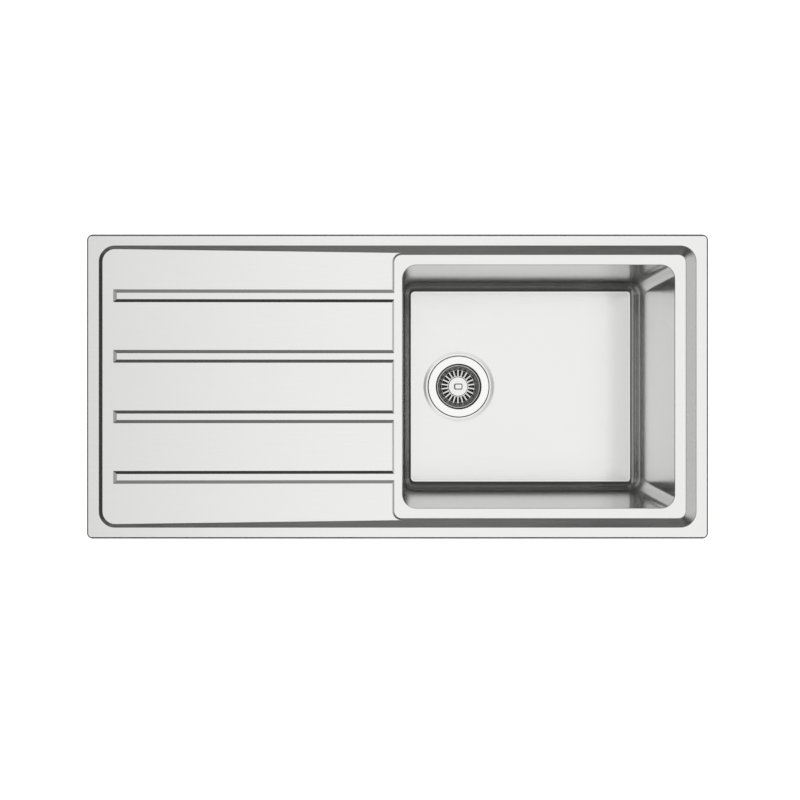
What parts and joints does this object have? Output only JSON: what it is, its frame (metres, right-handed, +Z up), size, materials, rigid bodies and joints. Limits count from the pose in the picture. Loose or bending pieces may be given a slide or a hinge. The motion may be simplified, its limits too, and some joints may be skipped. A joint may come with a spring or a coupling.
{
  "type": "kitchen sink with drainboard",
  "caption": "Inset stainless sink with a grooved, falling drainboard, a deep rounded bowl, a lift-out basket waste and swinging clips for the worktop.",
  "frame": {"origin": "middle of the rim's outline, on the worktop's top face", "axes": "+X along the sink to the bowl's end, +Y to the back, +Z up out of the worktop"},
  "size_m": [0.98, 0.48, 0.297],
  "materials": {
    "deck_steel": "pressed stainless sheet, fine satin",
    "bowl_steel": "deep-drawn stainless sheet, fine satin",
    "waste_steel": "bright polished stainless",
    "basket_steel": "bright stainless pressing",
    "knob_steel": "bright turned stainless",
    "stem_steel": "turned stainless",
    "tab_steel": "mill-finish steel",
    "clip_steel": "zinc-plated steel",
    "fixing_steel": "zinc-plated steel",
    "black_rubber": "smooth moulded rubber",
    "seal_foam": "closed-cell foam strip",
    "pad_bitumen": "matt sound-deadening sheet",
    "waste_plastic": "moulded polypropylene"
  },
  "bodies": {
    "root": {"drainer_deck": "deck_steel", "bowl": "bowl_steel", "rim_seal": "seal_foam", "bowl_floor_pad": "pad_bitumen", "bowl_side_pads": "pad_bitumen", "drainer_pads": "pad_bitumen", "strainer_cup": "waste_steel", "flange_gasket": "black_rubber", "body_gasket": "black_rubber", "waste_body": "waste_plastic", "centre_screw": "stem_steel", "hanger_tabs": "tab_steel", "clip_brackets": "clip_steel"},
    "basket": {"basket": "basket_steel", "basket_knob": "knob_steel", "basket_stem": "stem_steel", "plug_seal": "black_rubber", "stem_ring": "black_rubber"},
    "clip_screw_1": {"clip_screw_1": "fixing_steel"},
    "clip_claw_1": {"clip_claw_1": "clip_steel"},
    "clip_screw_2": {"clip_screw_2": "fixing_steel"},
    "clip_claw_2": {"clip_claw_2": "clip_steel"},
    "clip_screw_3": {"clip_screw_3": "fixing_steel"},
    "clip_claw_3": {"clip_claw_3": "clip_steel"},
    "clip_screw_4": {"clip_screw_4": "fixing_steel"},
    "clip_claw_4": {"clip_claw_4": "clip_steel"},
    "clip_screw_5": {"clip_screw_5": "fixing_steel"},
    "clip_claw_5": {"clip_claw_5": "clip_steel"},
    "clip_screw_6": {"clip_screw_6": "fixing_steel"},
    "clip_claw_6": {"clip_claw_6": "clip_steel"}
  },
  "joints": [
    {"name": "basket_lift", "type": "slide", "parent": "root", "child": "basket", "axis": [0, 0, 1], "range_m": [-0.006, 0.255]},
    {"name": "clip_1_travel", "type": "slide", "parent": "root", "child": "clip_screw_1", "axis": [0, 0, 1], "range_m": [0, 0.012]},
    {"name": "clip_1_swing", "type": "hinge", "parent": "clip_screw_1", "child": "clip_claw_1", "pos_m": [-0.24, -0.218, -0.044], "axis": [0, 0, 1], "range_deg": [0, 90]},
    {"name": "clip_2_travel", "type": "slide", "parent": "root", "child": "clip_screw_2", "axis": [0, 0, 1], "range_m": [0, 0.012]},
    {"name": "clip_2_swing", "type": "hinge", "parent": "clip_screw_2", "child": "clip_claw_2", "pos_m": [0.28, -0.218, -0.044], "axis": [0, 0, 1], "range_deg": [0, 90]},
    {"name": "clip_3_travel", "type": "slide", "parent": "root", "child": "clip_screw_3", "axis": [0, 0, 1], "range_m": [0, 0.012]},
    {"name": "clip_3_swing", "type": "hinge", "parent": "clip_screw_3", "child": "clip_claw_3", "pos_m": [-0.24, 0.218, -0.044], "axis": [0, 0, 1], "range_deg": [0, 90]},
    {"name": "clip_4_travel", "type": "slide", "parent": "root", "child": "clip_screw_4", "axis": [0, 0, 1], "range_m": [0, 0.012]},
    {"name": "clip_4_swing", "type": "hinge", "parent": "clip_screw_4", "child": "clip_claw_4", "pos_m": [0.28, 0.218, -0.044], "axis": [0, 0, 1], "range_deg": [0, 90]},
    {"name": "clip_5_travel", "type": "slide", "parent": "root", "child": "clip_screw_5", "axis": [0, 0, 1], "range_m": [0, 0.012]},
    {"name": "clip_5_swing", "type": "hinge", "parent": "clip_screw_5", "child": "clip_claw_5", "pos_m": [-0.468, 0, -0.044], "axis": [0, 0, 1], "range_deg": [0, 90]},
    {"name": "clip_6_travel", "type": "slide", "parent": "root", "child": "clip_screw_6", "axis": [0, 0, 1], "range_m": [0, 0.012]},
    {"name": "clip_6_swing", "type": "hinge", "parent": "clip_screw_6", "child": "clip_claw_6", "pos_m": [0.468, 0, -0.044], "axis": [0, 0, 1], "range_deg": [0, 90]}
  ]
}
